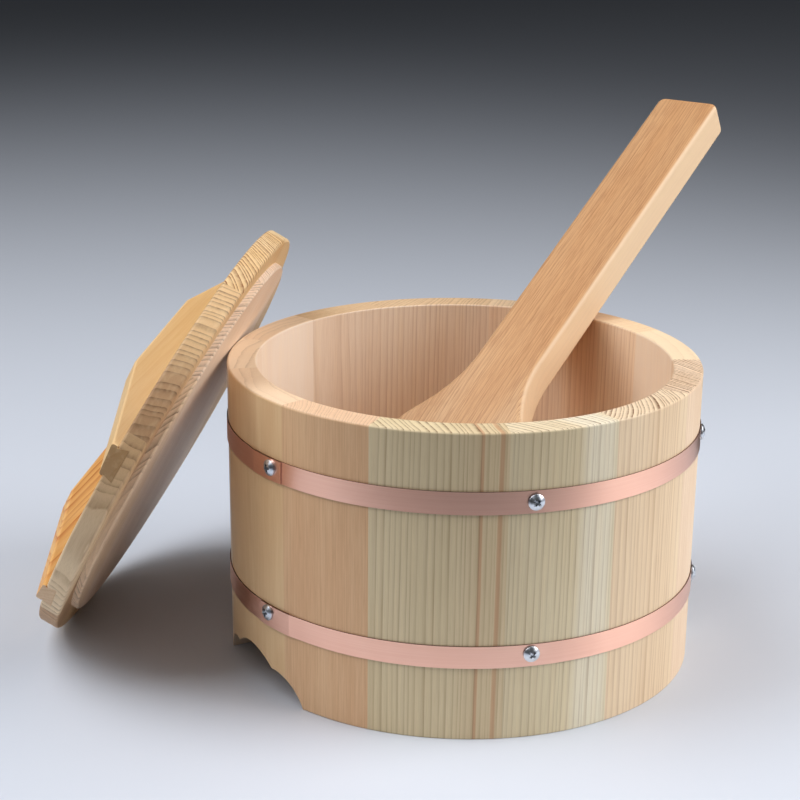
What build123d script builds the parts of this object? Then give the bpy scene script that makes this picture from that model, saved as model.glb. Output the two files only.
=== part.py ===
from build123d import *
import os
from math import asin, atan2, cos, radians, sin, sqrt

os.makedirs("parts", exist_ok=True)

# A coopered rice tub, with its lid taken off and leaning on its left side and a wooden paddle standing in it.
# Millimetres. The origin is on the tub's axis at the plane of its feet, +Z is up and the front faces -Y.
# Directions are degrees round the tub's axis from the front, positive towards +X.

# Tub wall, of thirteen staves
tub_height = 166.0
rim_radius = 130.0
foot_radius = 128.9
wall = 16.0
rim_outer_round = 1.2
rim_inner_round = 1.0
foot_round = 0.8
stave_joints = (-78.3, -47.0, -22.8, 8.5, 34.9, 62.0, 90.7, 118.5, 147.0, 171.0, 205.5, 229.3, 255.0)

# Cusped arches that open the wall between its two feet
arch_directions = (-61.4, 118.6)
arch_half_width = 45.3
arch_height = 22.4
arch_cusp_half_width = 20.6
arch_cusp_height = 15.3
arch_shoulder_width_share = 0.68
arch_shoulder_height_share = 0.69

# Base boards, housed in a groove round the inside of the wall
base_bottom = 36.0
base_thickness = 12.0
base_edge_gap = 0.3
base_edge_chamfer = 0.6
groove_depth = 4.0
groove_top_gap = 0.2
base_joint_shares = (-0.5, 0.0, 0.5)
base_grain_direction = 20.0

# Copper hoops, each a strip that laps over its own start
hoop_width = 12.0
hoop_thickness = 0.6
hoop_gap = 0.05
lap_angle = 11.0
lap_step_angle = 3.5
lap_start_angle = 0.3
upper_hoop_height = 129.4
upper_lap_direction = -52.5
lower_hoop_height = 46.2
lower_lap_direction = -50.2

# Pan-head screws with a cross recess
screw_head_radius = 4.35
screw_head_height = 2.6
screw_head_rim = 0.9
screw_head_round = 0.5
screw_shank_radius = 1.5
screw_length = 11.0
screw_point = 3.0
screw_seat_gap = 0.02
screw_hole_gap = 0.1
recess_span = 5.2
recess_width = 1.3
recess_depth = 1.7
recess_floor_share = 0.4
upper_screw_directions = (-50.8, 14.6, 84.0, 156.0, 233.0)
upper_screw_rises = (0.9, 0.0, 0.0, 0.0, 0.0)
lower_screw_directions = (-52.4, 14.7, 84.0, 156.0, 233.0)
lower_screw_rises = (1.8, 0.9, 0.0, 0.0, 0.0)
screw_turns = (12.0, 48.0, 70.0, 25.0, 5.0)

# Bamboo pins hidden in the joints
stave_pin_radius = 1.5
stave_pin_length = 14.0
stave_pin_height_shares = (0.42, 0.88)
board_pin_radius = 1.25
board_pin_length = 20.0
board_pin_shares = (-0.45, 0.45)
pin_gap = 0.05
pin_end_room = 0.5

# Lid: a flange disc, a thinner plug disc under it and two battens dovetailed across its boards
lid_radius = 127.5
lid_thickness = 12.0
lid_round = 1.6
lid_joint_shares = (-0.86, -0.26, 0.345)
plug_gap = 1.5
plug_thickness = 4.0
plug_edge_chamfer = 0.8
plug_joint_shares = (-0.63, 0.04, 0.70)
batten_offset = 49.0
batten_width = 16.0
batten_height = 21.8
batten_end_height = 2.6
batten_flat = 79.0
batten_round = 1.3
dovetail_depth = 6.0
dovetail_neck = 14.0
dovetail_root = 17.6
dovetail_gap = 0.1

# How the lid leans on the rim: where it stands, how far its normal tilts up and how its battens are turned
lid_direction = -99.3
lid_side_shift = -1.9
lid_normal_slope = 28.46
lid_batten_turn = 78.2
contact_gap = 0.3

# Paddle: a straight handle that widens to a thinner round blade
paddle_length = 416.0
paddle_thickness = 22.3
paddle_round = 3.5
handle_width = 41.0
handle_corner_round = 5.0
neck_length = 176.0
blade_length = 84.0
blade_width = 98.0
blade_tip_thickness = 8.5
paddle_wall_gap = 24.0
paddle_tip_direction = -36.5
paddle_heading = 144.95

overrun = 5.0
up = Vector(0, 0, 1)
grounded = (Align.CENTER, Align.CENTER, Align.MIN)


def around(direction, radius, height):
    """The point at a direction from the front, a distance from the axis and a height."""
    return Vector(radius * sin(radians(direction)), -radius * cos(radians(direction)), height)


def outward(direction):
    return around(direction, 1, 0)


def heading(direction):
    """Turns what is built towards +X so that it points in a direction."""
    return Rot(0, 0, direction - 90)


def wall_radius(height):
    """The outside of the wall, which widens a little from the feet to the rim."""
    return foot_radius + (rim_radius - foot_radius) * height / tub_height


def corner(face, x, y):
    return face.vertices().sort_by_distance((x, y, 0))[0]


def save(shape, node):
    export_step(shape, f"parts/{node}.step")


def disc_boards(radius, bottom, thickness, joints):
    """The boards of a disc, which lie along Y and meet at joints given along X."""
    edges = (-radius, *joints, radius)
    for low, high in zip(edges, edges[1:]):
        strip = Pos((low + high) / 2, 0) * Rectangle(high - low, 2 * radius)
        yield Pos(0, 0, bottom) * extrude(Circle(radius) & strip, thickness)


def rim_edges(board):
    return board.edges().filter_by(GeomType.CIRCLE)


def pin_places(joints, radius, height):
    """Where pins cross each joint between a disc's boards, at shares of the joint's half length."""
    for joint in joints:
        half_length = sqrt(radius**2 - joint**2)
        for share in board_pin_shares:
            yield Pos(joint, share * half_length, height) * Rot(0, 90, 0)


def board_pins(places):
    return [place * Cylinder(board_pin_radius, board_pin_length) for place in places]


def board_pin_holes(places):
    hole = Cylinder(board_pin_radius + pin_gap, board_pin_length + 2 * pin_end_room)
    return [place * hole for place in places]


# Staves

inner_radius = rim_radius - wall
groove_radius = wall_radius(base_bottom) - wall + groove_depth
base_top = base_bottom + base_thickness


def wall_section():
    """The wall's section in radius and height, with the base's groove and worn edges."""
    groove_top = base_top + groove_top_gap
    outline = Polyline(
        (foot_radius, 0),
        (rim_radius, tub_height),
        (inner_radius, tub_height),
        (wall_radius(groove_top) - wall, groove_top),
        (groove_radius, groove_top),
        (groove_radius, base_bottom),
        (wall_radius(base_bottom) - wall, base_bottom),
        (foot_radius - wall, 0),
        close=True,
    )
    section = make_face(outline)
    section = fillet(corner(section, rim_radius, tub_height), rim_outer_round)
    section = fillet(corner(section, inner_radius, tub_height), rim_inner_round)
    section = fillet(corner(section, foot_radius, 0), foot_round)
    return fillet(corner(section, foot_radius - wall, 0), foot_round)


def arch(direction):
    """A cutter through the wall: a middle arc between two cusps and an arc down to each foot."""
    shoulder = (
        arch_cusp_half_width + arch_shoulder_width_share * (arch_half_width - arch_cusp_half_width),
        arch_shoulder_height_share * arch_cusp_height,
    )
    cusp = (arch_cusp_half_width, arch_cusp_height)
    half = (
        ThreePointArc((arch_half_width, 0), shoulder, cusp)
        + Line((arch_half_width, 0), (arch_half_width, -overrun))
        + Line((arch_half_width, -overrun), (0, -overrun))
    )
    middle = ThreePointArc(cusp, (0, arch_height), (-arch_cusp_half_width, arch_cusp_height))
    outline = make_face(half + mirror(half, Plane.YZ) + middle)
    return heading(direction) * extrude(Plane.YZ * outline, rim_radius + overrun)


def stave_pin_places():
    mid_wall = wall_radius(tub_height / 2) - wall / 2
    for joint in stave_joints:
        for share in stave_pin_height_shares:
            yield Plane(origin=around(joint, mid_wall, share * tub_height), z_dir=outward(joint + 90))


def screw_places(height, directions, rises):
    """Where the screws of a hoop seat on its strip, the first one on the lap."""
    strip_radius = wall_radius(height + hoop_width / 2) + hoop_gap + hoop_thickness
    lap_radius = strip_radius + hoop_gap + hoop_thickness
    for direction, rise, turn in zip(directions, rises, screw_turns):
        radius = lap_radius if direction == directions[0] else strip_radius
        seat = around(direction, radius + screw_seat_gap, height + rise)
        yield Plane(origin=seat, x_dir=outward(direction + 90), z_dir=outward(direction)) * Rot(0, 0, turn)


def screw_hole():
    """The bore for a screw's shank and point, from outside the strip to just past the point."""
    depth = screw_length + pin_end_room
    bore = Cylinder(screw_shank_radius + screw_hole_gap, depth + overrun, align=grounded)
    return Pos(0, 0, -depth) * bore


upper_screw_places = list(screw_places(upper_hoop_height, upper_screw_directions, upper_screw_rises))
lower_screw_places = list(screw_places(lower_hoop_height, lower_screw_directions, lower_screw_rises))
screw_holes = [place * screw_hole() for place in upper_screw_places + lower_screw_places]
stave_pin_hole = Cylinder(stave_pin_radius + pin_gap, stave_pin_length + 2 * pin_end_room)
stave_pin_holes = [place * stave_pin_hole for place in stave_pin_places()]
wall_cuts = [arch(direction) for direction in arch_directions] + screw_holes + stave_pin_holes

next_joints = (*stave_joints[1:], stave_joints[0] + 360)
for number, (joint, next_joint) in enumerate(zip(stave_joints, next_joints), 1):
    blank = revolve(Plane.XZ * wall_section(), Axis.Z, revolution_arc=next_joint - joint)
    save(heading(joint) * blank - wall_cuts, f"stave_{number:02d}")

stave_pin = Cylinder(stave_pin_radius, stave_pin_length)
save(Compound([place * stave_pin for place in stave_pin_places()]), "stave_pins")

# Base

base_radius = groove_radius - base_edge_gap
base_joints = [share * base_radius for share in base_joint_shares]
base_pin_places = list(pin_places(base_joints, base_radius, base_bottom + base_thickness / 2))
for number, board in enumerate(disc_boards(base_radius, base_bottom, base_thickness, base_joints), 1):
    board = chamfer(rim_edges(board), base_edge_chamfer) - board_pin_holes(base_pin_places)
    save(Rot(0, 0, base_grain_direction) * board, f"base_board_{number}")
save(Rot(0, 0, base_grain_direction) * Compound(board_pins(base_pin_places)), "base_pins")

# Hoops


def hoop(height):
    """One strip round the wall, lapped at +X. Past a step it runs outside its own start."""
    inner = wall_radius(height + hoop_width / 2) + hoop_gap
    outer = inner + hoop_thickness
    lap_inner = outer + hoop_gap
    lap_outer = lap_inner + hoop_thickness
    lap_end = lap_angle / 2
    step_top = -lap_end
    step_foot = step_top - lap_step_angle
    start = step_top + lap_start_angle
    outside = CenterArc((0, 0), outer, start, 360 + step_foot - start)
    inside = CenterArc((0, 0), inner, start, 360 + step_foot - start)
    lap_outside = CenterArc((0, 0), lap_outer, step_top, lap_angle)
    lap_inside = CenterArc((0, 0), lap_inner, step_top, lap_angle)
    outline = outside + inside + lap_outside + lap_inside
    outline += Line(inside @ 0, outside @ 0)
    outline += Line(inside @ 1, lap_inside @ 0)
    outline += Line(outside @ 1, lap_outside @ 0)
    outline += Line(lap_inside @ 1, lap_outside @ 1)
    return Pos(0, 0, height - hoop_width / 2) * extrude(make_face(outline), hoop_width)


def screw():
    """A pan-head screw along Z, seated at the origin with its head up and its shank down to a point."""
    rim = (screw_head_radius, screw_head_rim)
    crown = (0, screw_head_height)
    side = Polyline(
        (0, screw_head_height),
        (0, -screw_length),
        (screw_shank_radius, screw_point - screw_length),
        (screw_shank_radius, 0),
        (screw_head_radius, 0),
        rim,
    )
    section = make_face(side + TangentArc(crown, rim, tangent=(1, 0)))
    section = fillet(corner(section, *rim), screw_head_round)
    return revolve(Plane.XZ * section, Axis.Z) - cross_recess()


def cross_recess():
    """Two crossed slots inside a cone that narrows to the recess's floor."""
    reach = recess_depth + overrun
    floor_radius = recess_floor_share * recess_span / 2
    top_radius = floor_radius + (recess_span / 2 - floor_radius) * reach / recess_depth
    slot = Box(recess_span, recess_width, reach, align=grounded)
    cross = slot + Rot(0, 0, 90) * slot
    cone = Cone(floor_radius, top_radius, reach, align=grounded)
    return Pos(0, 0, screw_head_height - recess_depth) * (cross & cone)


upper_hoop = heading(upper_lap_direction) * hoop(upper_hoop_height)
lower_hoop = heading(lower_lap_direction) * mirror(hoop(lower_hoop_height), Plane.XZ)
save(upper_hoop - screw_holes, "upper_hoop")
save(lower_hoop - screw_holes, "lower_hoop")
save(Compound([place * screw() for place in upper_screw_places]), "upper_hoop_screws")
save(Compound([place * screw() for place in lower_screw_places]), "lower_hoop_screws")

# Lid, built flat with the flange's underside at the origin, its boards along Y and its battens along X


def lid_place():
    """Stands the lid's rounded edge on the ground and its plug's face against the rim's rounded edge."""
    slope = radians(lid_normal_slope)
    away = outward(lid_direction)
    normal = away * cos(slope) + up * sin(slope)
    climb = up * cos(slope) - away * sin(slope)
    across = normal.cross(climb)
    centre_height = lid_radius * cos(slope) - lid_round * (sin(slope) + cos(slope) - 1)
    rim_reach = (rim_radius - rim_outer_round) * cos(slope) + (tub_height - rim_outer_round) * sin(slope)
    plug_reach = rim_reach + rim_outer_round + contact_gap
    distance = (plug_thickness + plug_reach - centre_height * sin(slope)) / cos(slope)
    centre = away * distance + across * lid_side_shift + up * centre_height
    turn = radians(lid_batten_turn)
    return Plane(origin=centre, x_dir=climb * cos(turn) + across * sin(turn), z_dir=normal)


def batten_section(neck, root, depth):
    """A batten's section over the flange's top, with its dovetail let down into the flange."""
    side = batten_width / 2
    top = Polyline((neck / 2, 0), (side, 0), (side, batten_height), (0, batten_height))
    tail = Polyline((neck / 2, 0), (root / 2, -depth), (0, -depth))
    half = top + tail
    return Plane.YZ * make_face(half + mirror(half, Plane.YZ))


def batten(side):
    """A batten that slopes down from its flat top to both ends, cut flush with the lid's edge."""
    half_length = sqrt(lid_radius**2 - batten_offset**2)
    fall = (batten_height - batten_end_height) / (half_length - batten_flat / 2)
    reach_height = batten_height - fall * (lid_radius - batten_flat / 2)
    top = Polyline(
        (lid_radius, -lid_thickness),
        (lid_radius, reach_height),
        (batten_flat / 2, batten_height),
        (0, batten_height),
    )
    half = top + Line((lid_radius, -lid_thickness), (0, -lid_thickness))
    profile = Plane.XZ * make_face(half + mirror(half, Plane.YZ))
    bar = extrude(batten_section(dovetail_neck, dovetail_root, dovetail_depth), lid_radius, both=True)
    bar &= extrude(profile, batten_width, both=True)
    ridges = [edge for edge in bar.edges() if edge.center().Z > 0 and abs(edge.tangent_at(0.5).X) > 0.5]
    bar = fillet(ridges, batten_round)
    return Pos(0, side * batten_offset, lid_thickness) * bar & Cylinder(lid_radius, 2 * lid_radius)


def batten_channel(side):
    """The dovetailed channel across the boards, a clearance wider and deeper than the batten's tail."""
    tail = Polyline(
        (0, overrun),
        (dovetail_neck / 2 + dovetail_gap, overrun),
        (dovetail_neck / 2 + dovetail_gap, 0),
        (dovetail_root / 2 + dovetail_gap, -dovetail_depth - dovetail_gap),
        (0, -dovetail_depth - dovetail_gap),
    )
    section = Plane.YZ * make_face(tail + mirror(tail, Plane.YZ))
    channel = extrude(section, lid_radius + overrun, both=True)
    return Pos(0, side * batten_offset, lid_thickness) * channel


lid = lid_place()
lid_joints = [share * lid_radius for share in lid_joint_shares]
lid_pin_places = list(pin_places(lid_joints, lid_radius, (lid_thickness - dovetail_depth) / 2))
lid_cuts = [*board_pin_holes(lid_pin_places), batten_channel(-1), batten_channel(1)]
for number, board in enumerate(disc_boards(lid_radius, 0, lid_thickness, lid_joints), 1):
    save(lid * (fillet(rim_edges(board), lid_round) - lid_cuts), f"lid_board_{number}")
save(lid * Compound(board_pins(lid_pin_places)), "lid_pins")

plug_radius = inner_radius - plug_gap
plug_joints = [share * plug_radius for share in plug_joint_shares]
for number, board in enumerate(disc_boards(plug_radius, -plug_thickness, plug_thickness, plug_joints), 1):
    lower_rim = rim_edges(board).group_by(Axis.Z)[0]
    save(lid * chamfer(lower_rim, plug_edge_chamfer), f"plug_board_{number}")

save(lid * batten(-1), "batten_upper")
save(lid * batten(1), "batten_lower")

# Paddle, built along +X from its tip, with its flat lower face down


def paddle_outline():
    """A half-round tip, straight blade sides, an arc each way at the shoulders and a straight handle."""
    blade = blade_width / 2
    handle = handle_width / 2
    shoulder = ((blade_length + neck_length) / 2, (blade + handle) / 2)
    half = (
        Line((blade, blade), (blade_length, blade))
        + TangentArc((blade_length, blade), shoulder, tangent=(1, 0))
        + TangentArc((neck_length, handle), shoulder, tangent=(-1, 0))
        + Line((neck_length, handle), (paddle_length, handle))
    )
    tip = ThreePointArc((blade, blade), (0, 0), (blade, -blade))
    end = Line((paddle_length, handle), (paddle_length, -handle))
    return make_face(half + mirror(half, Plane.XZ) + tip + end)


def paddle_side():
    """The side view: an even handle, and a blade whose upper face curves down to a thinner tip."""
    thinned = Polyline(
        (0, blade_tip_thickness),
        (0, 0),
        (paddle_length, 0),
        (paddle_length, paddle_thickness),
        (neck_length, paddle_thickness),
    )
    taper = TangentArc((neck_length, paddle_thickness), (0, blade_tip_thickness), tangent=(-1, 0))
    return Plane.XZ * make_face(thinned + taper)


def paddle():
    body = extrude(paddle_outline(), paddle_thickness) & extrude(paddle_side(), blade_width, both=True)
    upright = body.edges().filter_by(Axis.Z)
    body = fillet(upright.sort_by(Axis.X)[-2:], handle_corner_round)
    return fillet(body.edges() - body.edges().filter_by(Axis.Z), paddle_round)


def paddle_place():
    """Stands the paddle's rounded tip on the base and lays its lower face on the rim's rounded inner edge."""
    course = outward(paddle_heading)
    tip = around(paddle_tip_direction, inner_radius - paddle_wall_gap, base_top + contact_gap + paddle_round)
    sideways = abs(tip.dot(outward(paddle_heading + 90))) + handle_width / 2 - paddle_round
    edge_reach = sqrt((inner_radius + rim_inner_round) ** 2 - sideways**2) - tip.dot(course)
    edge_rise = tub_height - rim_inner_round - tip.Z
    parting = paddle_round + rim_inner_round + contact_gap
    slope = atan2(edge_rise, edge_reach) + asin(parting / sqrt(edge_reach**2 + edge_rise**2))
    along = course * cos(slope) + up * sin(slope)
    above = up * cos(slope) - course * sin(slope)
    return Plane(origin=tip - (along + above) * paddle_round, x_dir=along, z_dir=above)


save(paddle_place() * paddle(), "paddle")
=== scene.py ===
import math

import bpy
import numpy as np
from mathutils import Matrix, Vector


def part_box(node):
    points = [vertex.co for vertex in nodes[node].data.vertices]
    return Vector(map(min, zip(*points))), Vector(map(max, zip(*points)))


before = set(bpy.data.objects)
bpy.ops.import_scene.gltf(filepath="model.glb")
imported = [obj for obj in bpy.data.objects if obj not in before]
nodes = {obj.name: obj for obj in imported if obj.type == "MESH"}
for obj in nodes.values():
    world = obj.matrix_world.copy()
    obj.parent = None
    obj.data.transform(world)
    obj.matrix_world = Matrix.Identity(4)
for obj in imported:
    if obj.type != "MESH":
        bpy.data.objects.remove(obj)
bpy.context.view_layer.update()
print("stage: frame loaded")

# Directions round the tub are in degrees from the front (-Y), positive towards +X.
# Colours in the dictionaries are screen values from 0 to 255. Wood is measured in mm, the studio in metres.
mm = 0.001
upright = Vector((0, 0, 1))


def outward(direction):
    # The unit vector away from the tub's axis: sine of the direction along X, minus its cosine along Y.
    angle = math.radians(direction)
    return Vector((math.sin(angle), -math.cos(angle), 0))


def srgb(red, green, blue):
    # An 8-bit screen colour as linear light: the standard power curve, with its straight foot.
    def channel(value):
        share = value / 255
        return share / 12.92 if share <= 0.04045 else ((share + 0.055) / 1.055) ** 2.4
    return (channel(red), channel(green), channel(blue), 1)


def turnOf(across, along):
    # The turn that takes Z to along and X to the part of across that is square to it, as Euler angles.
    z = Vector(along).normalized()
    x = Vector(across)
    x = (x - z * x.dot(z)).normalized()
    y = z.cross(x)
    return Matrix((x, y, z)).transposed().to_euler()


class Graph:
    # A thin helper that adds nodes to a tree and links their sockets.
    def __init__(self, tree):
        self.tree = tree

    def put(self, socket, value):
        # A socket of another node is linked, and a plain value is set.
        if isinstance(value, bpy.types.NodeSocket):
            self.tree.links.new(value, socket)
        else:
            socket.default_value = value

    def add(self, kind, settings=None, **inputs):
        # A new node with its settings and its inputs, whose names have _ for a space.
        node = self.tree.nodes.new(kind)
        for name, value in (settings or {}).items():
            setattr(node, name, value)
        for name, value in inputs.items():
            self.put(node.inputs[name.replace("_", " ")], value)
        return node

    def math(self, operation, *values, clamp=False):
        # One operation on up to three numbers.
        node = self.add("ShaderNodeMath", {"operation": operation, "use_clamp": clamp})
        for socket, value in zip(node.inputs, values):
            self.put(socket, value)
        return node.outputs[0]

    def vector(self, operation, a, b):
        # One operation on two vectors, as a node with a vector and a value output.
        node = self.add("ShaderNodeVectorMath", {"operation": operation})
        self.put(node.inputs[0], a)
        self.put(node.inputs[1], b)
        return node

    def mix(self, factor, a, b, blend="MIX"):
        # Colour a taken to colour b by the factor.
        node = self.add("ShaderNodeMix", {"data_type": "RGBA", "blend_type": blend})
        for index, value in ((0, factor), (6, a), (7, b)):
            self.put(node.inputs[index], value)
        return node.outputs[2]

    def tinted(self, color, mask, share, tintColor, blend="MIX"):
        # A colour taken to a tint, a screen colour, by a mask times a share: a stain of the wood itself, or,
        # on the paddle's sides, partly a painted highlight.
        return self.mix(self.math("MULTIPLY", mask, share), color, srgb(*tintColor), blend)

    def ramp(self, value, low, high):
        # A smooth step that is 0 at low and 1 at high, where low may be the greater of the two.
        node = self.add("ShaderNodeMapRange", {"interpolation_type": "SMOOTHSTEP"}, Value=value)
        self.put(node.inputs["From Min"], low)
        self.put(node.inputs["From Max"], high)
        return node.outputs["Result"]

    def noise(self, vector, factors, detail, roughness):
        # Noise at a vector times three factors, so that it is drawn out where a factor is small.
        place = self.vector("MULTIPLY", vector, factors).outputs[0]
        node = self.add("ShaderNodeTexNoise", Vector=place, Scale=1.0, Detail=detail, Roughness=roughness)
        return node.outputs["Fac"]

    def facing(self, direction):
        # How squarely the surface faces a direction or its opposite: the size of the normal's part along it,
        # from 0 to 1.
        normal = self.add("ShaderNodeNewGeometry").outputs["Normal"]
        part = self.vector("DOT_PRODUCT", normal, Vector(direction).normalized())
        return self.math("ABSOLUTE", part.outputs["Value"])


# A noise is given by its factors per mm (two across the grain, one along it), its detail and its roughness.
ringShape = {
    "seedSteps": (37.1, 11.7, 71.3),  # how far a seed of 1 moves the noises, in mm
    "slow": ((0.03, 0.03, 0.0045), 2.0, 0.45), "slowBend": 30.0,  # wide bends of the rings, in mm
    "fine": ((0.16, 0.16, 0.012), 2.0, 0.5), "fineBend": 2.2,  # narrow bends, in mm
    "yearPace": 0.21, "yearDetail": 2.0, "yearRoughness": 0.6,  # how wide and narrow years take turns
    "yearShift": 2.6,  # how far that moves a ring, in rings
    "leastPower": 1.4, "powerGain": 5.0, "drop": (1.0, 0.93),  # how a ring darkens, and where it ends
    "along": ((0.5, 0.5, 0.02), 2.0, 0.5), "alongRange": (0.3, 0.7),  # its strength along the grain
    "alongLeast": 0.65, "alongGain": 0.5,
}
grainNoises = {
    "Fibre": ((2.6, 2.6, 0.045), 3.0, 0.6),
    "Pore": ((6.5, 6.5, 0.16), 2.0, 0.6),
    "Tone": ((0.035, 0.035, 0.006), 2.0, 0.5),
    "Ray": ((0.35, 0.35, 0.02), 2.0, 0.5),
}


def woodGroup(shape):
    # Solid wood in its own frame, in mm: the pith runs along Z and growth rings surround it.
    # Reach = distance from the pith + the bends, each a noise times the wander and its own size.
    # Count = reach / spacing + a noise of itself, which makes some years wide and some narrow.
    # Late wood = the passed share of a ring to a power, times the drop at its end, times its strength.
    # Strength = 1 less the ring's own chance times the unevenness, all times a noise along the grain.
    tree = bpy.data.node_groups.new("solidWood", "ShaderNodeTree")
    face = tree.interface
    face.new_socket("Point", in_out="INPUT", socket_type="NodeSocketVector")
    for name in ("Spacing", "Wander", "Sharpness", "Seed", "Unevenness"):
        face.new_socket(name, in_out="INPUT", socket_type="NodeSocketFloat")
    for name in ("Late", "Reach", *grainNoises):
        face.new_socket(name, in_out="OUTPUT", socket_type="NodeSocketFloat")
    g = Graph(tree)
    given = tree.nodes.new("NodeGroupInput").outputs
    result = tree.nodes.new("NodeGroupOutput").inputs
    point, wander, seed = given["Point"], given["Wander"], given["Seed"]

    x, y, z = (g.math("MULTIPLY", seed, step) for step in shape["seedSteps"])
    local = g.vector("ADD", point, g.add("ShaderNodeCombineXYZ", X=x, Y=y, Z=z).outputs[0]).outputs[0]

    parts = g.add("ShaderNodeSeparateXYZ", Vector=point).outputs
    reach = g.math("SQRT", g.math("ADD", *(g.math("POWER", parts[axis], 2.0) for axis in ("X", "Y"))))
    for name in ("slow", "fine"):
        bend = g.math("MULTIPLY", g.math("SUBTRACT", g.noise(local, *shape[name]), 0.5), wander)
        reach = g.math("ADD", reach, g.math("MULTIPLY", bend, shape[name + "Bend"]))

    count = g.math("DIVIDE", reach, given["Spacing"])
    pace = g.math("ADD", g.math("MULTIPLY", count, shape["yearPace"]), seed)
    years = g.add("ShaderNodeTexNoise", {"noise_dimensions": "1D"}, W=pace, Scale=1.0,
                  Detail=shape["yearDetail"], Roughness=shape["yearRoughness"]).outputs["Fac"]
    count = g.math("ADD", count, g.math("MULTIPLY", g.math("SUBTRACT", years, 0.5), shape["yearShift"]))
    ring = g.math("FLOOR", count)
    passed = g.math("FRACT", count)

    power = g.math("ADD", g.math("MULTIPLY", given["Sharpness"], shape["powerGain"]), shape["leastPower"])
    line = g.math("MULTIPLY", g.math("POWER", passed, power), g.ramp(passed, *shape["drop"]))
    chance = g.add("ShaderNodeTexWhiteNoise", {"noise_dimensions": "1D"}, W=g.math("ADD", ring, seed))
    strength = g.math("SUBTRACT", 1.0, g.math("MULTIPLY", chance.outputs["Value"], given["Unevenness"]))
    along = g.ramp(g.noise(local, *shape["along"]), *shape["alongRange"])
    along = g.math("ADD", g.math("MULTIPLY", along, shape["alongGain"]), shape["alongLeast"])
    strength = g.math("MULTIPLY", strength, along)

    g.put(result["Late"], g.math("MULTIPLY", line, strength))
    g.put(result["Reach"], reach)
    for name, noise in grainNoises.items():
        g.put(result[name], g.noise(local, *noise))
    return tree


solidWood = woodGroup(ringShape)

# What a board's own look leaves unsaid. A range gives where a smooth step starts and where it is full.
woodDefaults = {
    "wander": 0.6, "sharpness": 0.5, "unevenness": 0.5,  # how the rings bend, and their dark lines
    "endRange": (0.55, 0.9), "endDarkening": 0.72,
    "zones": (), "zoneCore": 0.4,
    "toneRange": (0.3, 0.7), "fibreRange": (0.38, 0.72),
    "pore": 0.16, "poreRange": (0.60, 0.76),
    "glow": 0.12, "light": (252, 226, 184), "rayRange": (0.45, 0.75),
    "streakNoise": ((1.3, 1.3, 0.07), 2.0, 0.5), "streakRange": (0.5, 0.66),
    "farShare": 0.8, "edgeRange": (0.45, 0.85),
    "rough": 0.46, "fibreRough": 0.16, "specular": 0.35,
    "bump": 0.25, "bumpHeight": 0.22, "fibreHeight": 0.5, "lateHeight": 0.12, "poreDepth": 0.35,
}


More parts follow.
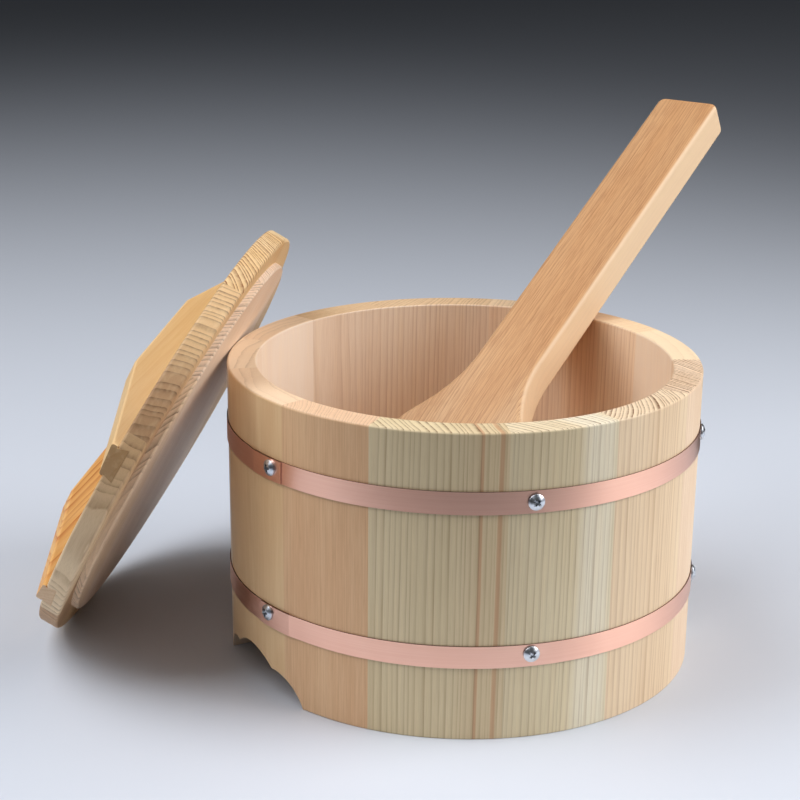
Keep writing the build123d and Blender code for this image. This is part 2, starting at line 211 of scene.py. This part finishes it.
def wood(name, ownLook, pith, along, across):
    # A wood material: the object point less the pith, in the wood's own frame and in mm, feeds the rings.
    # Early wood = two colours mixed by the slow tone, then stained by the end's tint and by the zones.
    # Colour = early wood taken to late wood by the rings times the contrast. Where the surface faces along
    # the grain, the end's late wood and contrast take the place of the side's.
    # Then come tints, each by its share: the stains of fibres, pores, pale rays and short streaks, a tint
    # that sets in between two places along the grain (far), and a paler tint on faces that look along across
    # (the side tint), partly their own grain and partly a painted highlight of the light falling on that
    # side.
    look = {**woodDefaults, **ownLook}
    material = bpy.data.materials.new(name)
    material.use_nodes = True
    g = Graph(material.node_tree)
    shader = material.node_tree.nodes["Principled BSDF"]
    point = g.add("ShaderNodeTexCoord").outputs["Object"]
    place = g.add("ShaderNodeMapping", {"vector_type": "TEXTURE"}, Vector=point, Location=pith,
                  Rotation=turnOf(across, along), Scale=(mm, mm, mm)).outputs[0]
    grain = g.add("ShaderNodeGroup", {"node_tree": solidWood}, Point=place, Spacing=look["spacing"],
                  Wander=look["wander"], Sharpness=look["sharpness"], Seed=look["seed"],
                  Unevenness=look["unevenness"]).outputs

    end = g.ramp(g.facing(along), *look["endRange"])
    contrast = g.add("ShaderNodeMapRange", Value=end, To_Min=look["contrast"], To_Max=look["endContrast"])
    lateShare = g.math("MULTIPLY", grain["Late"], contrast.outputs["Result"], clamp=True)
    early = g.mix(g.ramp(grain["Tone"], *look["toneRange"]), srgb(*look["early"]), srgb(*look["early2"]))
    if "end" in look:
        early = g.tinted(early, end, look["endShare"], look["end"])
    for reach, halfWidth, share, tint in look["zones"]:
        away = g.math("ABSOLUTE", g.math("SUBTRACT", grain["Reach"], reach))
        early = g.tinted(early, g.ramp(away, halfWidth, halfWidth * look["zoneCore"]), share, tint)
    endLate = look.get("endLate", [round(value * look["endDarkening"]) for value in look["late"]])
    color = g.mix(lateShare, early, g.mix(end, srgb(*look["late"]), srgb(*endLate)))

    color = g.tinted(color, g.ramp(grain["Fibre"], *look["fibreRange"]), look["fibre"], look["late"])
    pores = g.ramp(grain["Pore"], *look["poreRange"])
    color = g.tinted(color, pores, look["pore"], look["late"])
    color = g.tinted(color, g.ramp(grain["Ray"], *look["rayRange"]), look["glow"], look["light"])
    if "streaks" in look:
        short = g.ramp(g.noise(place, *look["streakNoise"]), *look["streakRange"])
        color = g.tinted(color, short, look["streaks"], look["late"])
    if "far" in look:
        near, far, tint = look["far"]
        length = g.add("ShaderNodeSeparateXYZ", Vector=place).outputs["Z"]
        color = g.tinted(color, g.ramp(length, near, far), look["farShare"], tint, "MULTIPLY")
    # A paler tint on faces that look along across: partly the side's own grain, partly a painted highlight
    # where light falls on that side.
    if "edge" in look:
        sideways = g.ramp(g.facing(across), *look["edgeRange"])
        color = g.tinted(color, sideways, look["edgeShare"], look["edge"])
    g.put(shader.inputs["Base Color"], color)

    rough = g.math("ADD", g.math("MULTIPLY", grain["Fibre"], look["fibreRough"]), look["rough"])
    g.put(shader.inputs["Roughness"], rough)
    shader.inputs["Specular IOR Level"].default_value = look["specular"]
    raised = g.math("MULTIPLY", grain["Fibre"], look["fibreHeight"])
    raised = g.math("ADD", raised, g.math("MULTIPLY", grain["Late"], look["lateHeight"]))
    height = g.math("SUBTRACT", raised, g.math("MULTIPLY", pores, look["poreDepth"]))
    bump = g.add("ShaderNodeBump", Height=height, Strength=look["bump"], Distance=look["bumpHeight"] * mm)
    g.put(shader.inputs["Normal"], bump.outputs["Normal"])
    return material


def finish(node, material):
    # Gives a CAD node its one material.
    nodes[node].data.materials.clear()
    nodes[node].data.materials.append(material)


# Staves: each is a board of its own between two directions. Its pith lies some way off, at a turn from the
# way the stave faces. Zones are stretches of another colour, each with its distance from the pith, half
# width, share and colour.
wallMiddle = 122
staveGrain = (0.004, 0.002, 1)
staveLooks = {
    "stave_01": {"from": -78.3, "to": -47.0, "pithTurn": 172, "pithDistance": 95, "spacing": 6.5,
                 "early": (230, 198, 155), "early2": (223, 186, 141), "late": (198, 150, 104),
                 "seed": 1.0, "contrast": 0.30, "endContrast": 0.45, "fibre": 0.20, "wander": 0.3,
                 "end": (240, 216, 194), "endShare": 0.6},
    "stave_02": {"from": -47.0, "to": -22.8, "pithTurn": -62, "pithDistance": 140, "spacing": 1.7,
                 "early": (228, 190, 149), "early2": (221, 178, 137), "late": (176, 124, 90),
                 "seed": 2.0, "contrast": 0.42, "endContrast": 0.7, "fibre": 0.26, "wander": 0.12,
                 "end": (236, 204, 176), "endShare": 0.6},
    "stave_03": {"from": -22.8, "to": 8.5, "pithTurn": -66, "pithDistance": 190, "spacing": 3.0,
                 "early": (227, 209, 173), "early2": (220, 201, 163), "late": (142, 106, 66),
                 "seed": 3.0, "contrast": 0.66, "endContrast": 1.25, "fibre": 0.12, "wander": 0.12,
                 "sharpness": 0.5, "unevenness": 0.4, "endLate": (104, 70, 42),
                 "zones": ((215, 24, 0.45, (214, 190, 154)), (207.5, 1.2, 0.5, (186, 118, 78)),
                           (217, 1.6, 0.5, (190, 124, 84)))},
    "stave_04": {"from": 8.5, "to": 34.9, "pithTurn": -62, "pithDistance": 170, "spacing": 2.7,
                 "early": (226, 211, 178), "early2": (220, 203, 168), "late": (140, 104, 66),
                 "seed": 4.0, "contrast": 0.6, "endContrast": 1.25, "fibre": 0.14, "wander": 0.12,
                 "sharpness": 0.5, "unevenness": 0.4, "end": (244, 226, 198), "endShare": 0.4,
                 "endLate": (104, 70, 42), "zones": ((184, 14, 0.6, (240, 234, 216)),)},
    "stave_05": {"from": 34.9, "to": 62.0, "pithTurn": -135, "pithDistance": 72, "spacing": 2.2,
                 "early": (236, 213, 182), "early2": (230, 204, 171), "late": (160, 112, 74),
                 "seed": 5.0, "contrast": 0.5, "endContrast": 1.3, "fibre": 0.16, "wander": 0.15,
                 "sharpness": 0.2, "unevenness": 0.35, "end": (240, 218, 190), "endShare": 0.45,
                 "endLate": (104, 68, 42)},
    "stave_06": {"from": 62.0, "to": 90.7, "pithTurn": 53, "pithDistance": 150, "spacing": 1.8,
                 "early": (238, 213, 186), "early2": (232, 204, 174), "late": (176, 126, 90),
                 "seed": 6.0, "contrast": 0.42, "endContrast": 1.7, "fibre": 0.18, "wander": 0.12,
                 "sharpness": 0.12, "endLate": (112, 74, 48)},
    "stave_07": {"from": 90.7, "to": 118.5, "pithTurn": 176, "pithDistance": 90, "spacing": 6.0,
                 "early": (240, 220, 198), "early2": (236, 214, 190), "late": (220, 184, 152),
                 "seed": 7.0, "contrast": 0.22, "endContrast": 0.3, "fibre": 0.14, "wander": 0.3,
                 "end": (232, 204, 164), "endShare": 0.6},
    "stave_08": {"from": 118.5, "to": 147.0, "pithTurn": 76, "pithDistance": 160, "spacing": 2.9,
                 "early": (246, 222, 196), "early2": (240, 212, 182), "late": (180, 128, 92),
                 "seed": 8.0, "contrast": 0.6, "endContrast": 0.35, "fibre": 0.2, "wander": 0.15,
                 "sharpness": 0.3, "end": (228, 196, 154), "endShare": 0.6,
                 "zones": ((150, 12, 0.45, (214, 164, 124)),)},
    "stave_09": {"from": 147.0, "to": 171.0, "pithTurn": 96, "pithDistance": 160, "spacing": 2.7,
                 "early": (242, 220, 196), "early2": (236, 210, 184), "late": (180, 134, 104),
                 "seed": 9.0, "contrast": 0.58, "endContrast": 0.6, "fibre": 0.2, "wander": 0.12,
                 "sharpness": 0.35, "end": (224, 192, 150), "endShare": 0.6},
    "stave_10": {"from": 171.0, "to": 205.5, "pithTurn": 60, "pithDistance": 170, "spacing": 2.4,
                 "early": (240, 222, 202), "early2": (234, 212, 190), "late": (176, 132, 104),
                 "seed": 10.0, "contrast": 0.7, "endContrast": 1.0, "fibre": 0.2, "wander": 0.12,
                 "sharpness": 0.35, "end": (208, 170, 122), "endShare": 0.75},
    "stave_11": {"from": 205.5, "to": 229.3, "pithTurn": 12, "pithDistance": 110, "spacing": 1.6,
                 "early": (234, 214, 194), "early2": (229, 206, 184), "late": (180, 142, 116),
                 "seed": 11.0, "contrast": 0.6, "endContrast": 0.55, "fibre": 0.22, "wander": 0.15,
                 "sharpness": 0.35, "end": (208, 170, 122), "endShare": 0.75},
    "stave_12": {"from": 229.3, "to": 255.0, "pithTurn": 178, "pithDistance": 95, "spacing": 6.2,
                 "early": (238, 221, 204), "early2": (234, 214, 196), "late": (218, 184, 154),
                 "seed": 12.0, "contrast": 0.22, "endContrast": 0.45, "fibre": 0.12, "wander": 0.3,
                 "end": (228, 192, 150), "endShare": 0.6},
    "stave_13": {"from": 255.0, "to": 281.7, "pithTurn": 170, "pithDistance": 95, "spacing": 6.0,
                 "early": (238, 220, 202), "early2": (232, 210, 188), "late": (212, 170, 132),
                 "seed": 13.0, "contrast": 0.26, "endContrast": 0.55, "fibre": 0.14, "wander": 0.3,
                 "end": (238, 212, 178), "endShare": 0.6},
}
for node, look in staveLooks.items():
    middle = (look["from"] + look["to"]) / 2
    toPith = outward(middle + look["pithTurn"])
    pith = (outward(middle) * wallMiddle + toPith * look["pithDistance"]) * mm
    finish(node, wood(node + "Wood", look, pith, staveGrain, toPith))

# Base boards, laid along the tub's floor. Each has its pith at a depth under its middle, some way to a side.
baseTurn = math.radians(20)
baseAlong = Vector((-math.sin(baseTurn), math.cos(baseTurn), 0))
baseLook = {"spacing": 4.2, "early": (234, 190, 140), "early2": (226, 176, 124), "late": (190, 130, 82),
            "contrast": 0.42, "endContrast": 0.6, "fibre": 0.2}
basePiths = {
    "base_board_1": {"seed": 21.0, "depth": 80, "side": -20},
    "base_board_2": {"seed": 22.0, "depth": 95, "side": 12},
    "base_board_3": {"seed": 23.0, "depth": 75, "side": -8},
    "base_board_4": {"seed": 24.0, "depth": 110, "side": 25},
}
for node, place in basePiths.items():
    low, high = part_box(node)
    pith = (low + high) / 2 + (baseAlong.cross(upright) * place["side"] - upright * place["depth"]) * mm
    finish(node, wood(node + "Wood", {**baseLook, **place}, pith, baseAlong, (1, 0, 0)))

# Lid: its frame is the middle of the flange's underside, the way from there to the lid's top, and the
# directions across and along its boards.
lidCentre = Vector((-0.1616, 0.0218, 0.1116))
lidNormal = Vector((-0.8675, 0.142, 0.4766)).normalized()
lidAcross = Vector((0.2543, 0.9505, 0.1798)).normalized()
lidAlong = Vector((-0.4271, 0.2772, -0.8605)).normalized()


def lidPoint(across, up):
    # A point given in mm across the boards and up from the flange's underside.
    return lidCentre + (lidAcross * across + lidNormal * up) * mm


# Middle is a board's place across the lid, and pith its pith's place across and up.
lidGrain = lidAlong + lidNormal * 0.006
flangeLooks = {
    "lid_board_1": {"middle": -118, "pith": (-83, 8), "spacing": 2.5, "seed": 31.0,
                    "early": (238, 216, 184), "early2": (230, 204, 168), "late": (158, 116, 74),
                    "contrast": 0.6, "endContrast": 0.85, "fibre": 0.16, "wander": 0.2, "sharpness": 0.3,
                    "far": (20, -70, (226, 202, 176)), "endRange": (0.1, 0.45)},
    "lid_board_2": {"middle": -71, "pith": (-229, -22), "spacing": 2.8, "seed": 32.0,
                    "early": (231, 196, 150), "early2": (223, 185, 138), "late": (140, 100, 68),
                    "contrast": 0.55, "endContrast": 1.0, "fibre": 0.18, "wander": 0.14, "sharpness": 0.3,
                    "unevenness": 0.35, "endLate": (98, 68, 44), "endRange": (0.1, 0.45),
                    "zones": ((126, 40, 0.85, (180, 140, 104)),)},
    "lid_board_3": {"middle": 5, "pith": (-85, 63), "spacing": 2.4, "seed": 33.0,
                    "early": (236, 206, 160), "early2": (230, 194, 142), "late": (158, 96, 42),
                    "contrast": 0.42, "endContrast": 1.5, "fibre": 0.16, "wander": 0.1, "sharpness": 0.15,
                    "unevenness": 0.3, "endLate": (122, 66, 22), "endRange": (0.1, 0.45)},
    "lid_board_4": {"middle": 86, "pith": (96, -52), "spacing": 4.0, "seed": 34.0,
                    "early": (232, 204, 160), "early2": (226, 192, 146), "late": (180, 136, 88),
                    "contrast": 0.4, "endContrast": 0.6, "fibre": 0.18, "wander": 0.3},
    "plug_board_1": {"middle": -92, "pith": (-30, 70), "spacing": 2.0, "seed": 35.0,
                     "early": (234, 206, 176), "early2": (226, 196, 164), "late": (150, 112, 84),
                     "contrast": 0.28, "endContrast": 1.0, "fibre": 0.18, "wander": 0.14,
                     "sharpness": 0.15, "endLate": (96, 66, 46), "endRange": (0.1, 0.45)},
    "plug_board_2": {"middle": -33, "pith": (40, 66), "spacing": 2.1, "seed": 36.0,
                     "early": (242, 218, 196), "early2": (236, 210, 186), "late": (150, 110, 82),
                     "contrast": 0.28, "endContrast": 1.0, "fibre": 0.18, "wander": 0.14,
                     "sharpness": 0.15, "endLate": (92, 60, 40), "endRange": (0.1, 0.45)},
    "plug_board_3": {"middle": 42, "pith": (-50, 60), "spacing": 2.2, "seed": 37.0,
                     "early": (243, 221, 201), "early2": (238, 213, 190), "late": (156, 116, 88),
                     "contrast": 0.28, "endContrast": 1.0, "fibre": 0.18, "wander": 0.14,
                     "sharpness": 0.3, "endLate": (112, 76, 52), "endRange": (0.1, 0.45)},
    "plug_board_4": {"middle": 96, "pith": (180, -30), "spacing": 2.6, "seed": 38.0,
                     "early": (228, 200, 170), "early2": (220, 190, 156), "late": (170, 128, 94),
                     "contrast": 0.28, "endContrast": 0.75, "fibre": 0.18, "wander": 0.2},
}
for node, look in flangeLooks.items():
    pith = lidPoint(*look["pith"])
    toPith = pith - lidPoint(look["middle"], 0)
    finish(node, wood(node + "Wood", look, pith, lidGrain, toPith))

# Battens lie across the boards, at an offset along them, so their grain runs across the lid. The pith is
# some way to one side and at a depth below the flange's underside. The grain leans a little out of the
# lid's plane.
battenLooks = {
    "batten_upper": {"offset": -49, "side": 7, "depth": 34, "lean": -0.05, "spacing": 5.5, "seed": 41.0,
                     "early": (238, 206, 160), "early2": (233, 195, 140), "late": (208, 150, 88),
                     "contrast": 0.36, "endContrast": 0.5, "fibre": 0.16, "end": (132, 96, 66),
                     "endShare": 0.7},
    "batten_lower": {"offset": 49, "side": 20, "depth": 20, "lean": -0.1, "spacing": 2.9, "seed": 42.0,
                     "early": (243, 196, 128), "early2": (238, 182, 108), "late": (190, 92, 30),
                     "contrast": 1.0, "endContrast": 0.25, "fibre": 0.18, "sharpness": 0.3,
                     "unevenness": 0.3, "end": (206, 182, 154), "endShare": 0.8},
}
for node, look in battenLooks.items():
    pith = lidPoint(0, -look["depth"]) + lidAlong * (look["offset"] + look["side"]) * mm
    finish(node, wood(node + "Wood", look, pith, lidAcross + lidNormal * look["lean"], lidNormal))


def longLine(node):
    # The middle of a node's points and the direction in which they spread most: the last eigenvector of
    # their covariance, turned to point up.
    mesh = nodes[node].data
    points = np.empty(len(mesh.vertices) * 3)
    mesh.vertices.foreach_get("co", points)
    points = points.reshape(-1, 3)
    centre = points.mean(0)
    spread = np.linalg.eigh(np.cov((points - centre).T))[1][:, -1]
    return Vector(centre), Vector(spread * np.sign(spread[2]))


# Paddle: one board along its length, cut with its rings nearly square to its broad face.
paddleLook = {
    "pithSide": 130, "pithDown": 50, "lean": 0.01, "spacing": 1.7, "seed": 51.0,
    "early": (223, 198, 165), "early2": (216, 184, 146), "late": (138, 86, 52), "light": (240, 206, 168),
    "contrast": 0.62, "endContrast": 0.6, "fibre": 0.24, "pore": 0.25, "streaks": 0.22,
    # The side tint is partly the sides' paler grain and partly a painted highlight of the light on them.
    "wander": 0.35, "sharpness": 0.3, "unevenness": 0.6, "edge": (236, 208, 174), "edgeShare": 0.8,
    "far": (-120, 110, (232, 196, 158)),
}
paddleMiddle, paddleLong = longLine("paddle")
paddleUp = (upright - paddleLong * paddleLong.z).normalized()
paddleSide = paddleUp.cross(paddleLong)
paddlePith = paddleMiddle + (paddleSide * paddleLook["pithSide"] - paddleUp * paddleLook["pithDown"]) * mm
paddleGrain = paddleLong + paddleSide * paddleLook["lean"]
finish("paddle", wood("paddleWood", paddleLook, paddlePith, paddleGrain, paddleSide))

# Bamboo pins, all in one material.
bambooLook = {"spacing": 0.8, "seed": 61.0,
              "early": (222, 196, 132), "early2": (222, 196, 132), "late": (184, 152, 88),
              "contrast": 0.4, "endContrast": 0.9, "fibre": 0.3}
bamboo = wood("bambooPins", bambooLook, (0, 0, 0), upright, (1, 0, 0))
for node in ("stave_pins", "base_pins", "lid_pins"):
    finish(node, bamboo)
print("stage: wood done")


# Metal: its noises have factors per metre along X, Y and Z, a detail and a roughness. The reach of the
# painted recess shade and the relief's height are in mm.
metalDefaults = {
    "cloudNoise": ((22.0, 22.0, 22.0), 3.0, 0.55), "streakPart": 0.6, "shadeRange": (0.35, 0.68),
    "edgeRange": (0.5, 0.85), "recessShadeReach": 1.5, "recessShadeRays": 8, "recessShadeRange": (0.75, 0.4),
    "streakRough": 0.12, "reliefHeight": 0.04,
}
hoopLook = {
    # The edge colour is painted shade: the strip's top and bottom faces are darkened to draw the shade where
    # the copper meets the wood.
    "color": (250, 202, 183), "dark": (245, 193, 173), "paintedEdgeShade": (120, 82, 70), "rough": 0.29,
    "streakNoise": ((10.0, 10.0, 1600.0), 4.0, 0.6), "relief": 0.03,
    "brushed": 0.7, "brushedTurn": 0.25,  # the turn is a share of a full one
}
screwLook = {
    # The recess colour is painted shade: it darkens the screw's cross recess, where little light gets in.
    "color": (214, 219, 227), "dark": (194, 201, 213), "paintedRecessShade": (50, 56, 68), "rough": 0.24,
    "streakNoise": ((260.0, 260.0, 260.0), 4.0, 0.6), "relief": 0.15,
}


def metal(name, ownLook):
    # Colour = dark taken to full by streaks and clouds of noise. The streaks also shift roughness and
    # relief. Faces that look up or down take a painted shade, a dark line for the shade where the strip
    # meets the wood, and closed-in places take a painted shade for the dark of the recesses.
    # Brushed is how far the gloss spreads up and down, square to streaks that run round the tub's axis.
    look = {**metalDefaults, **ownLook}
    material = bpy.data.materials.new(name)
    material.use_nodes = True
    g = Graph(material.node_tree)
    shader = material.node_tree.nodes["Principled BSDF"]
    point = g.add("ShaderNodeTexCoord").outputs["Object"]
    streak = g.noise(point, *look["streakNoise"])
    cloud = g.noise(point, *look["cloudNoise"])
    both = g.math("ADD", g.math("MULTIPLY", streak, look["streakPart"]),
                  g.math("MULTIPLY", cloud, 1.0 - look["streakPart"]))
    color = g.mix(g.ramp(both, *look["shadeRange"]), srgb(*look["dark"]), srgb(*look["color"]))
    # Painted shade: faces that look up or down are darkened for the shade where the strip meets the wood.
    if "paintedEdgeShade" in look:
        color = g.mix(g.ramp(g.facing(upright), *look["edgeRange"]), color, srgb(*look["paintedEdgeShade"]))
    # Painted shade in closed-in places, such as the screws' cross recess, by how open each point is.
    if "paintedRecessShade" in look:
        openness = g.add("ShaderNodeAmbientOcclusion", {"samples": look["recessShadeRays"], "only_local": True},
                         Distance=look["recessShadeReach"] * mm).outputs["AO"]
        color = g.mix(g.ramp(openness, *look["recessShadeRange"]), color, srgb(*look["paintedRecessShade"]))
    g.put(shader.inputs["Base Color"], color)
    shader.inputs["Metallic"].default_value = 1.0
    rough = g.math("ADD", g.math("MULTIPLY", streak, look["streakRough"]), look["rough"])
    g.put(shader.inputs["Roughness"], rough)
    if "brushed" in look:
        shader.inputs["Anisotropic"].default_value = look["brushed"]
        shader.inputs["Anisotropic Rotation"].default_value = look["brushedTurn"]
        aroundAxis = g.add("ShaderNodeTangent", {"direction_type": "RADIAL", "axis": "Z"})
        g.put(shader.inputs["Tangent"], aroundAxis.outputs["Tangent"])
    bump = g.add("ShaderNodeBump", Height=streak, Strength=look["relief"],
                 Distance=look["reliefHeight"] * mm)
    g.put(shader.inputs["Normal"], bump.outputs["Normal"])
    return material


copper = metal("hoopCopper", hoopLook)
zinc = metal("screwZinc", screwLook)
for hoop in ("upper_hoop", "lower_hoop"):
    finish(hoop, copper)
    finish(hoop + "_screws", zinc)
print("stage: metal done")


# The floor, in metres. The camera sees one wide pale plane. What the object reflects, in its gloss and as
# thrown-back light, are two sheets just under it: a pale glow of limited size and a dark surround.
paintRough = 0.55
floorLook = {"color": (206, 212, 224), "halfWidth": 30.0, "height": 0}
glowLook = {"color": (220, 225, 234), "halfWidth": 0.7, "front": -0.37, "back": 0.3, "height": -0.0005}
surroundLook = {"color": (26, 26, 30), "halfWidth": 30.0, "height": -0.001}


def flatSheet(name, look):
    # A flat stage surface: a square about the origin, or with its front and back edges at their own places
    # along Y, at one height and in one dull paint.
    side = look["halfWidth"]
    front, back = look.get("front", -side), look.get("back", side)
    corners = [(-side, front), (side, front), (side, back), (-side, back)]
    mesh = bpy.data.meshes.new(name)
    mesh.from_pydata([(x, y, look["height"]) for x, y in corners], [], [(0, 1, 2, 3)])
    sheet = bpy.data.objects.new(name, mesh)
    bpy.context.scene.collection.objects.link(sheet)
    material = bpy.data.materials.new(name + "Paint")
    material.use_nodes = True
    shader = material.node_tree.nodes["Principled BSDF"]
    shader.inputs["Base Color"].default_value = srgb(*look["color"])
    shader.inputs["Roughness"].default_value = paintRough
    mesh.materials.append(material)
    return sheet


def makeFloor():
    # The floor for the camera alone, and the two sheets for reflections and thrown-back light alone.
    floor = flatSheet("floor", floorLook)
    floor.visible_diffuse = floor.visible_glossy = floor.visible_shadow = False
    for name, look in (("tableGlow", glowLook), ("surround", surroundLook)):
        sheet = flatSheet(name, look)
        sheet.visible_camera = sheet.visible_transmission = False


# The camera's place in metres, its angles in radians, and its focal length in pixels of the square picture.
cameraLook = {"place": (-0.035097, -1.04888, 0.474961), "pitch": 0.308092, "roll": 0.011881,
              "focal": 1991.84, "picture": 800, "sensor": 36.0}


def makeCamera(look):
    # The camera looks along +Y, tilted down by the pitch and rolled about its own view line.
    pitch, roll = look["pitch"], look["roll"]
    forward = Vector((0, math.cos(pitch), -math.sin(pitch)))
    right, up = Vector((1, 0, 0)), Vector((0, math.sin(pitch), math.cos(pitch)))
    x = right * math.cos(roll) + up * math.sin(roll)
    y = up * math.cos(roll) - right * math.sin(roll)
    camera = bpy.data.cameras.new("camera")
    camera.sensor_width = look["sensor"]
    camera.lens = look["sensor"] * look["focal"] / look["picture"]
    holder = bpy.data.objects.new("camera", camera)
    bpy.context.scene.collection.objects.link(holder)
    turn = Matrix((x, y, -forward)).transposed()
    holder.matrix_world = Matrix.Translation(look["place"]) @ turn.to_4x4()
    bpy.context.scene.camera = holder


# Lamps, which all face the tub's middle: direction and height in degrees, distance and size in metres, power
# in watts, and spread, how far the light fans out, in degrees.
tubMiddle = Vector((0, 0, 0.08))
lampLooks = {
    "keyLight": {"direction": 85, "height": 30, "distance": 1.4, "size": 1.17,
                 "power": 6.8, "spread": 110, "color": (1.0, 0.99, 0.97)},
    "upperKey": {"direction": 85, "height": 52, "distance": 1.4, "size": 1.09,
                 "power": 3.0, "spread": 110, "color": (1.0, 0.99, 0.97)},
    "upperLeft": {"direction": -85, "height": 58, "distance": 1.8, "size": 1.4,
                  "power": 13, "spread": 120, "color": (1, 1, 1)},
    "leftLight": {"direction": -80, "height": 30, "distance": 1.8, "size": 1.1,
                  "power": 4.6, "spread": 180, "color": (0.98, 0.99, 1.0)},
    "frontLight": {"direction": -15, "height": 42, "distance": 1.8, "size": 1.1,
                   "power": 1.8, "spread": 180, "color": (1, 1, 1)},
}


def softbox(name, look):
    # A square lamp on a sphere round the tub's middle: the outward direction times the height's cosine, plus
    # up times its sine, all times the distance.
    height = math.radians(look["height"])
    away = outward(look["direction"]) * math.cos(height) + upright * math.sin(height)
    place = tubMiddle + away * look["distance"]
    lamp = bpy.data.lights.new(name, "AREA")
    lamp.shape = "SQUARE"
    lamp.size = look["size"]
    lamp.energy = look["power"]
    lamp.color = look["color"]
    lamp.spread = math.radians(look["spread"])
    holder = bpy.data.objects.new(name, lamp)
    bpy.context.scene.collection.objects.link(holder)
    holder.location = place
    holder.rotation_euler = (tubMiddle - place).to_track_quat("-Z", "Y").to_euler()
    holder.visible_camera = False


worldLook = {"color": (0.92, 0.95, 1.0, 1), "strength": 0.03}


def makeWorld(look):
    # One even, faint light from all round.
    world = bpy.data.worlds.new("studio")
    world.use_nodes = True
    background = world.node_tree.nodes["Background"]
    background.inputs["Color"].default_value = look["color"]
    background.inputs["Strength"].default_value = look["strength"]
    bpy.context.scene.world = world


makeFloor()
makeCamera(cameraLook)
for name, look in lampLooks.items():
    softbox(name, look)
makeWorld(worldLook)
bpy.context.scene.view_settings.view_transform = "Standard"
print("stage: floor, lights and camera done")
